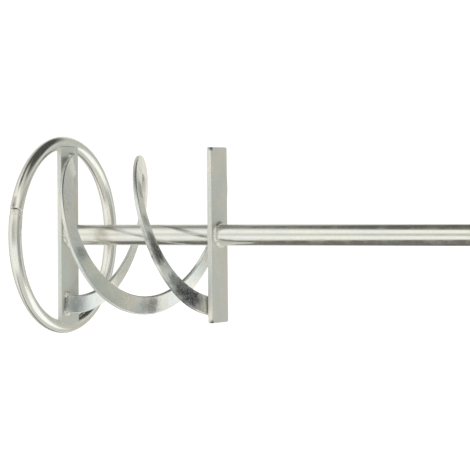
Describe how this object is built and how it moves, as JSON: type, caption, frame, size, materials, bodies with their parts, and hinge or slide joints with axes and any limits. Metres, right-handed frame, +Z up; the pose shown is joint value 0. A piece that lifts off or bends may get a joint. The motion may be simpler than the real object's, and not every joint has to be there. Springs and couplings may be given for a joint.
{
  "type": "mortar mixing paddle",
  "caption": "Welded mixing paddle for mortar: a ring, flat crossbars and a double helix of strip on a round drive shaft with a threaded stud.",
  "frame": {"origin": "centre of the ring's underside, on the shaft's axis, where the paddle stands", "axes": "+Z up the shaft from the ring to the drive stud, X along the crossbars, +Y across them; blade A leaves the lower crossbar at -X and passes -Y"},
  "size_m": [0.12, 0.12, 0.6],
  "materials": {
    "bright_zinc": "bright zinc plate on drawn round bar, glossy with faint draw lines",
    "satin_zinc": "satin zinc plate on hot-rolled flat bar, faintly warm and mottled",
    "strip_zinc": "semi-bright zinc plate on bent strip, cool grey",
    "turned_zinc": "zinc plate on a turned steel fitting, with fine tool marks",
    "plated_weld": "zinc plate over rough weld beads, dull and darker in the hollows"
  },
  "bodies": {
    "root": {"ring": "bright_zinc", "ring_butt_weld": "plated_weld", "lower_crossbar": "satin_zinc", "upper_crossbar": "satin_zinc", "ring_crossbar_welds": "plated_weld", "shaft": "bright_zinc", "shaft_foot_weld": "plated_weld", "shaft_collar_welds": "plated_weld", "blade_a": "strip_zinc", "blade_b": "strip_zinc", "blade_foot_welds": "plated_weld", "blade_head_welds": "plated_weld", "drive_adapter": "turned_zinc", "adapter_weld": "plated_weld"}
  },
  "joints": []
}
